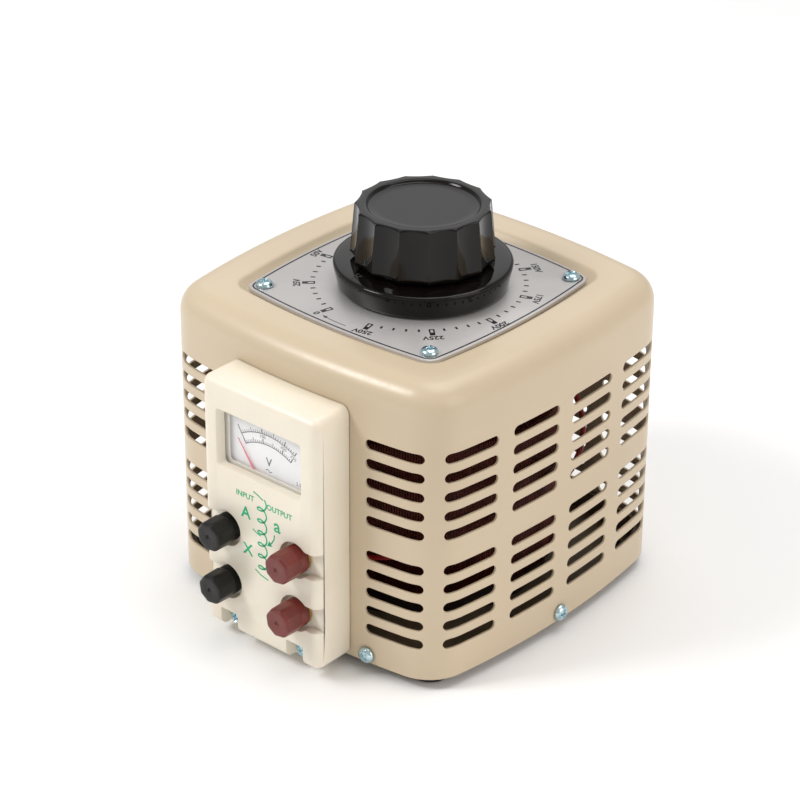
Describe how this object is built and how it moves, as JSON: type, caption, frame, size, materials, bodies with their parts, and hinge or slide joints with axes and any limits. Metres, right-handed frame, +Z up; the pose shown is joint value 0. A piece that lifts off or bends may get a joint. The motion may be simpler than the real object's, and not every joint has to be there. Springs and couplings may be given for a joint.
{
  "type": "variable autotransformer",
  "caption": "Bench variable autotransformer in a slotted beige sheet-metal case, with a fluted dial knob, a voltmeter panel and screw binding posts.",
  "frame": {"origin": "on the ground under the middle of the overall box, so the feet stand on Z = 0", "axes": "+Z up, the front panel faces -Y, +X to the right when facing the panel"},
  "size_m": [0.1326, 0.1538, 0.1389],
  "materials": {
    "beige_enamel": "semi-gloss baked enamel",
    "base_enamel": "painted sheet steel",
    "dial_aluminium": "silver-grey lacquered, printed black",
    "zinc_plate": "bright zinc plate",
    "bright_steel": "turned",
    "core_steel": "wound electrical steel strip",
    "copper_wire": "enamelled copper wire",
    "brass": "turned or pressed",
    "phenolic": "moulded phenolic",
    "cast_alloy": "die cast",
    "carbon": "pressed carbon",
    "knob_black": "glossy moulded phenolic",
    "ivory_plastic": "moulded, satin gloss",
    "cap_black": "moulded",
    "cap_red": "moulded, dark red",
    "rubber": "moulded",
    "clear_acrylic": "clear moulded pane",
    "scale_white": "white enamelled sheet, printed black",
    "meter_black": "moulded",
    "needle_red": "red lacquer",
    "lead_black": "insulated wire",
    "lead_red": "insulated wire"
  },
  "bodies": {
    "chassis": {"cover": "beige_enamel", "base_plate": "base_enamel", "dial_plate": "dial_aluminium", "cover_screw_right": "zinc_plate", "cover_screw_back": "zinc_plate", "cover_screw_left": "zinc_plate", "cover_screw_front_left": "zinc_plate", "cover_screw_front_right": "zinc_plate", "plate_screw_1": "zinc_plate", "plate_screw_2": "zinc_plate", "plate_screw_3": "zinc_plate", "plate_screw_4": "zinc_plate", "panel_screw_left": "zinc_plate", "panel_screw_right": "zinc_plate", "clamp_screw_1": "zinc_plate", "clamp_screw_2": "zinc_plate", "clamp_screw_3": "zinc_plate", "stop_pin": "zinc_plate", "meter_movement": "bright_steel", "core": "core_steel", "winding": "copper_wire", "lower_bush": "brass", "upper_bush": "brass", "collector_strip": "brass", "post_stud_input_upper": "brass", "post_stud_output_upper": "brass", "post_stud_input_lower": "brass", "post_stud_output_lower": "brass", "post_nut_input_upper": "brass", "post_nut_output_upper": "brass", "post_nut_input_lower": "brass", "post_nut_output_lower": "brass", "coil_seat": "phenolic", "coil_clamp": "phenolic", "front_panel": "ivory_plastic", "foot_1": "rubber", "foot_2": "rubber", "foot_3": "rubber", "foot_4": "rubber", "meter_window": "clear_acrylic", "meter_scale": "scale_white", "meter_case": "meter_black", "input_lead": "lead_black", "output_lead": "lead_red"},
    "control": {"shaft": "bright_steel", "brush_arm": "cast_alloy", "brush_holder": "brass", "brush_spring": "bright_steel", "knob": "knob_black", "knob_screw": "zinc_plate"},
    "brush": {"carbon_brush": "carbon"},
    "needle": {"meter_needle": "needle_red"},
    "insert_input_upper": {"post_insert_input_upper": "brass"},
    "cap_input_upper": {"post_cap_input_upper": "cap_black"},
    "insert_output_upper": {"post_insert_output_upper": "brass"},
    "cap_output_upper": {"post_cap_output_upper": "cap_red"},
    "insert_input_lower": {"post_insert_input_lower": "brass"},
    "cap_input_lower": {"post_cap_input_lower": "cap_black"},
    "insert_output_lower": {"post_insert_output_lower": "brass"},
    "cap_output_lower": {"post_cap_output_lower": "cap_red"}
  },
  "joints": [
    {"name": "control_turn", "type": "hinge", "parent": "chassis", "child": "control", "pos_m": [0.0012, 0.01155, 0.1], "axis": [0, 0, 1], "range_deg": [-331.7, 0]},
    {"name": "brush_lift", "type": "slide", "parent": "control", "child": "brush", "axis": [0, 0, 1], "range_m": [0, 0.003], "stiffness_N_per_m": 300, "springref_m": -0.003, "deforming": ["brush_spring"]},
    {"name": "needle_swing", "type": "hinge", "parent": "chassis", "child": "needle", "pos_m": [0.0008, -0.06415, 0.0594], "axis": [0, 1, 0], "range_deg": [0, 68], "stiffness_Nm_per_rad": 0.0002, "springref_deg": -17.19},
    {"name": "travel_input_upper", "type": "slide", "parent": "chassis", "child": "insert_input_upper", "axis": [0, -1, 0], "range_m": [0, 0.0042]},
    {"name": "turn_input_upper", "type": "hinge", "parent": "insert_input_upper", "child": "cap_input_upper", "pos_m": [-0.0145, -0.07145, 0.044], "axis": [0, -1, 0], "range_deg": [0, 2160]},
    {"name": "travel_output_upper", "type": "slide", "parent": "chassis", "child": "insert_output_upper", "axis": [0, -1, 0], "range_m": [0, 0.0042]},
    {"name": "turn_output_upper", "type": "hinge", "parent": "insert_output_upper", "child": "cap_output_upper", "pos_m": [0.0161, -0.07145, 0.044], "axis": [0, -1, 0], "range_deg": [0, 2160]},
    {"name": "travel_input_lower", "type": "slide", "parent": "chassis", "child": "insert_input_lower", "axis": [0, -1, 0], "range_m": [0, 0.0042]},
    {"name": "turn_input_lower", "type": "hinge", "parent": "insert_input_lower", "child": "cap_input_lower", "pos_m": [-0.0145, -0.07145, 0.0236], "axis": [0, -1, 0], "range_deg": [0, 2160]},
    {"name": "travel_output_lower", "type": "slide", "parent": "chassis", "child": "insert_output_lower", "axis": [0, -1, 0], "range_m": [0, 0.0042]},
    {"name": "turn_output_lower", "type": "hinge", "parent": "insert_output_lower", "child": "cap_output_lower", "pos_m": [0.0161, -0.07145, 0.0236], "axis": [0, -1, 0], "range_deg": [0, 2160]}
  ],
  "couplings": [
    {"joint": "turn_input_upper", "follows": "travel_input_upper", "rad_per_m": 8976},
    {"joint": "turn_output_upper", "follows": "travel_output_upper", "rad_per_m": 8976},
    {"joint": "turn_input_lower", "follows": "travel_input_lower", "rad_per_m": 8976},
    {"joint": "turn_output_lower", "follows": "travel_output_lower", "rad_per_m": 8976}
  ]
}
